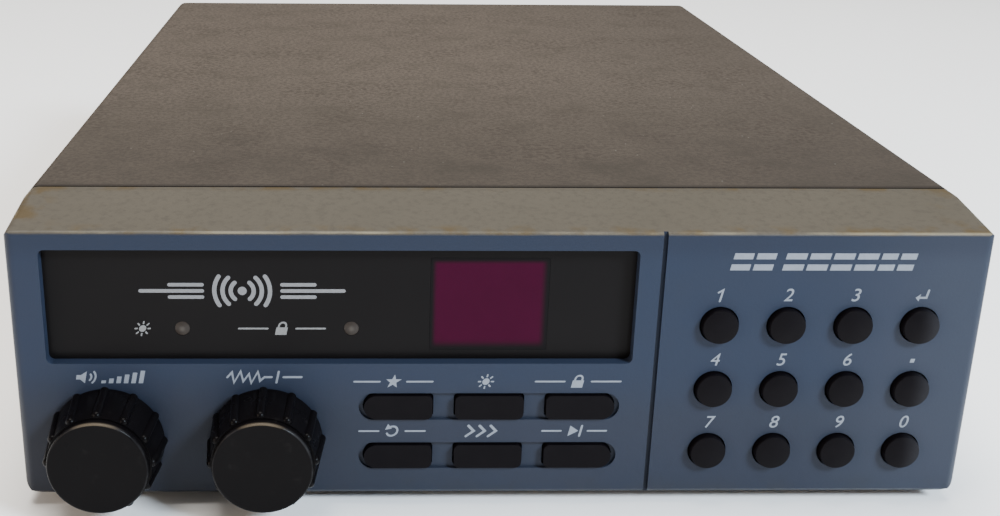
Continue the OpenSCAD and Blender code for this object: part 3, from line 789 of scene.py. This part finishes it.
def polarity_symbol(p):
    """Plus outside, ring and dot, minus: the contacts of a power socket."""
    p.stroke([(-3.8, 0), (-2.6, 0)], 0.36)
    p.stroke([(-3.2, -0.6), (-3.2, 0.6)], 0.36)
    p.stroke(arc(1.1, 40, 320), 0.36)
    p.fill(disc(0.42))
    p.stroke([(2.6, 0), (3.8, 0)], 0.36)


def speaker_symbol(p):
    """Loudspeaker with two waves."""
    p.fill([(-1.5, -0.5), (-0.7, -0.5), (-0.7, 0.5), (-1.5, 0.5)])
    p.fill([(-0.7, -0.5), (0.3, -1.3), (0.3, 1.3), (-0.7, 0.5)])
    for radius in (0.9, 1.6):
        p.stroke(arc(radius, -42, 42, across=0.4), 0.34)


# ---------- printing on the object ----------

ITALIC = 0.21
DIGIT_SIZE = 3.2

KNOB_LABEL_Z = BASE_Z + 22.4 * MM
EMBLEM_X, EMBLEM_Z = -42.75 * MM, BASE_Z + 37.2 * MM
MODEL_X, MODEL_Z = 53.1 * MM, BASE_Z + 43.25 * MM

# Millimetres from the middle of the control, lamp or socket that a symbol belongs to.
BUTTON_LABEL_RISE = 4.7
KEY_LABEL_RISE = 5.3
POINT_RISE = 5.2
KEY_LABEL_SHIFT = -0.2
SUN_SHIFT = -6.6
LOCK_SHIFT = -11.6
SOCKET_LABEL_RISE = 11.5


def above(node, shift, rise):
    """Slanted print on the front face, shifted and raised in millimetres from a control."""
    at = middle(node)
    return Print(FACE_Y, at.x + shift * MM, at.z + rise * MM, ITALIC)


def print_knob_labels(material):
    symbols = {"volume_knob": (volume_symbol, 0.85), "squelch_knob": (squelch_symbol, -0.15)}
    for node, (draw, shift) in symbols.items():
        p = Print(FACE_Y, middle(node).x + shift * MM, KNOB_LABEL_Z, ITALIC)
        draw(p)
        p.piece(node + "_symbol", material)


def print_button_labels(material):
    """Symbols above the function buttons; each has its own reach of rules and its own shift."""
    symbols = {
        "priority_button": (star_symbol, 6.6, -0.85),
        "weather_button": (sun_symbol, 0, -0.7),
        "lockout_button": (lock_symbol, 7.2, -0.55),
        "review_button": (back_symbol, 5.6, -1.0),
        "scan_button": (scan_symbol, 0, -0.7),
        "manual_button": (step_symbol, 5.5, -0.7),
    }
    for node, (draw, reach, shift) in symbols.items():
        p = above(node, shift, BUTTON_LABEL_RISE)
        draw(p)
        if reach:
            rules(p, 2.3, reach)
        p.piece(node + "_symbol", material)


def print_digit(digit, material):
    """One digit above its key, in the plain built-in face, slanted and a little bolder."""
    name = "digit_" + digit
    curve = bpy.data.curves.new(name, "FONT")
    curve.body = digit
    curve.size = DIGIT_SIZE * MM
    curve.shear = ITALIC
    curve.offset = 0.012 * MM
    curve.extrude = INK_THICK / 2 * MM
    curve.align_x = "CENTER"
    curve.align_y = "CENTER"
    shape = bpy.data.objects.new(name + "_curve", curve)
    bpy.context.scene.collection.objects.link(shape)
    bpy.context.view_layer.update()
    solid = shape.evaluated_get(bpy.context.evaluated_depsgraph_get())
    mesh = bpy.data.meshes.new_from_object(solid)
    bpy.data.objects.remove(shape)
    mesh.name = name
    mesh.materials.clear()
    at = middle("key_" + digit)
    place = (at.x + KEY_LABEL_SHIFT * MM, FACE_Y - INK_THICK / 2 * MM, at.z + KEY_LABEL_RISE * MM)
    mesh.transform(Matrix.Translation(place) @ Matrix.Rotation(math.pi / 2, 4, "X"))
    add_ink(name, mesh, material)


def print_key_symbol(node, name, draw, rise, material):
    p = above(node, KEY_LABEL_SHIFT, rise)
    draw(p)
    p.piece(name, material)


def print_key_labels(material):
    print_key_symbol("key_1", "digit_1", one_symbol, KEY_LABEL_RISE, material)
    for digit in "234567890":
        print_digit(digit, material)
    print_key_symbol("key_point", "point_symbol", point_symbol, POINT_RISE, material)
    print_key_symbol("key_enter", "enter_symbol", enter_symbol, KEY_LABEL_RISE, material)


def print_window(emblem_ink, label_ink):
    """The emblem, and a symbol to the left of each lamp."""
    p = Print(WINDOW_Y, EMBLEM_X, EMBLEM_Z)
    emblem_symbol(p)
    p.piece("emblem", emblem_ink)
    left_lamp, right_lamp = lamp_middles()
    p = Print(WINDOW_Y, left_lamp.x + SUN_SHIFT * MM, left_lamp.z, ITALIC)
    sun_symbol(p)
    p.piece("weather_lamp_symbol", label_ink)
    p = Print(WINDOW_Y, right_lamp.x + LOCK_SHIFT * MM, right_lamp.z, ITALIC)
    lock_symbol(p)
    rules(p, 2.4, 7.2)
    p.piece("lockout_lamp_symbol", label_ink)


def print_model_bars(material):
    p = Print(FACE_Y, MODEL_X, MODEL_Z, ITALIC)
    bar_symbol(p)
    p.piece("model_bars", material)


def print_rear(material):
    """A symbol above each socket of the rear panel."""
    symbols = {
        "antenna_jack": aerial_symbol,
        "speaker_jack": speaker_symbol,
        "power_jack": polarity_symbol,
    }
    for node, draw in symbols.items():
        at = middle(node)
        p = Print(PANEL_Y, at.x, at.z + SOCKET_LABEL_RISE * MM, outward=1)
        draw(p)
        p.piece(node + "_symbol", material)


# ---------- softened edges ----------


def soften(node, width, segments=2):
    """Rounds the sharp edges of a CAD node by so many millimetres, as moulding and bending do."""
    weld = nodes[node].modifiers.new("weld", "WELD")
    weld.merge_threshold = 0.002 * MM
    bevel = nodes[node].modifiers.new("edge", "BEVEL")
    bevel.width = width * MM
    bevel.segments = segments
    bevel.limit_method = "ANGLE"
    bevel.angle_limit = math.radians(40.0)
    bevel.harden_normals = True
    bevel.use_clamp_overlap = True


# ---------- setting ----------


def make_floor():
    """Wide pale floor with a faint tone variation."""
    s = Shader("floor", roughness=0.6)
    s.set("Base Color", s.mix(s.noise(400.0), (0.86, 0.86, 0.86), (0.89, 0.89, 0.885)))
    reach = 12.0
    mesh = bpy.data.meshes.new("floor")
    corners = [(-reach, -reach, 0), (reach, -reach, 0), (reach, reach, 0), (-reach, reach, 0)]
    mesh.from_pydata(corners, [], [(0, 1, 2, 3)])
    mesh.materials.append(s.material)
    floor = bpy.data.objects.new("floor", mesh)
    bpy.context.scene.collection.objects.link(floor)


def make_world():
    world = bpy.data.worlds.new("studio")
    world.use_nodes = True
    sky = world.node_tree.nodes["Background"]
    sky.inputs["Color"].default_value = (1.0, 0.985, 0.96, 1.0)
    sky.inputs["Strength"].default_value = 0.25
    bpy.context.scene.world = world


def area_light(name, place, target, size, power, colour):
    """Square light of that many metres, aimed at a point."""
    data = bpy.data.lights.new(name, "AREA")
    data.shape = "SQUARE"
    data.size = size
    data.energy = power
    data.color = colour
    light = bpy.data.objects.new(name, data)
    light.location = place
    aim = Vector(target) - Vector(place)
    light.rotation_euler = aim.to_track_quat("-Z", "Y").to_euler()
    bpy.context.scene.collection.objects.link(light)


def make_lights():
    """Cool light from the right, a broad one from above and a faint warm one from the left."""
    front = (0.0, FACE_Y, 0.03)
    area_light("key", (0.62, -0.62, 0.62), front, 0.25, 24.0, (0.74, 0.87, 1.0))
    area_light("top", (-0.1, 0.14, 1.2), (0, 0, 0), 0.7, 30.0, (1.0, 0.96, 0.90))
    area_light("fill", (-0.8, -0.5, 0.3), front, 0.5, 5.5, (1.0, 0.82, 0.66))


def make_camera():
    """Camera a hand's length in front, above and left of the middle, looking down at the front."""
    place = Vector((-0.02346, -0.28899, 0.11891))
    yaw, pitch, roll = (math.radians(a) for a in (1.237, 18.501, -0.526))
    ahead = Vector((math.sin(yaw) * math.cos(pitch), math.cos(yaw) * math.cos(pitch), -math.sin(pitch)))
    level = Vector((math.cos(yaw), -math.sin(yaw), 0.0))
    down = ahead.cross(level)
    right = level * math.cos(roll) + down * math.sin(roll)
    down = down * math.cos(roll) - level * math.sin(roll)
    data = bpy.data.cameras.new("camera")
    data.sensor_width = 36.0
    data.lens = 44.757
    data.shift_x = 0.1155
    data.shift_y = -0.058
    data.clip_start = 0.01
    camera = bpy.data.objects.new("camera", data)
    turn = Matrix((right, -down, -ahead)).transposed().to_4x4()
    camera.matrix_world = Matrix.Translation(place) @ turn
    bpy.context.scene.collection.objects.link(camera)
    bpy.context.scene.camera = camera


# ---------- putting it together ----------

SLOT_MATERIALS = {
    "bezel_plastic": bezel_plastic,
    "painted_sheet": painted_sheet,
    "window_black": window_black,
    "filter_magenta": filter_magenta,
    "lamp_lens": lamp_lens,
    "control_black": knob_black,
    "board": board,
    "rubber": rubber,
    "mat_silicone": mat_silicone,
    "panel_black": panel_black,
    "moulded_black": moulded_black,
    "can_sleeve": can_sleeve,
    "heat_black": heat_black,
    "cloth": cloth,
    "paper_cone": paper_cone,
    "ribbon": ribbon,
}


def paint_nodes():
    """Gives every CAD node the finished material of its slot; keys and buttons get their own."""
    made = {slot: build() for slot, build in SLOT_MATERIALS.items()}
    made.update({slot: metal(slot, *look) for slot, look in METALS.items()})
    key_black = key_rubber()
    for name, node in nodes.items():
        pressed = name.startswith("key_") or name.endswith("_button")
        for slot in node.material_slots:
            if pressed:
                slot.material = key_black
            else:
                slot.material = made[slot.material.name.split(".")[0]]


def print_everything():
    face_ink = ink("face_ink", (0.13, 0.147, 0.180), (0.185, 0.205, 0.240))
    grey_ink = ink("grey_ink", (0.120, 0.120, 0.127), (0.165, 0.165, 0.172))
    dim_ink = ink("dim_ink", (0.12, 0.12, 0.12), (0.17, 0.17, 0.17))
    print_knob_labels(face_ink)
    print_button_labels(face_ink)
    print_key_labels(face_ink)
    print_model_bars(face_ink)
    print_window(grey_ink, dim_ink)
    print_rear(grey_ink)


def soften_edges():
    for name in nodes:
        if name.endswith("_button"):
            soften(name, 0.3, segments=3)
    soften("front_bezel", 0.2)
    soften("top_cover", 0.15)


make_camera()
paint_nodes()
print_everything()
soften_edges()
make_floor()
make_world()
make_lights()
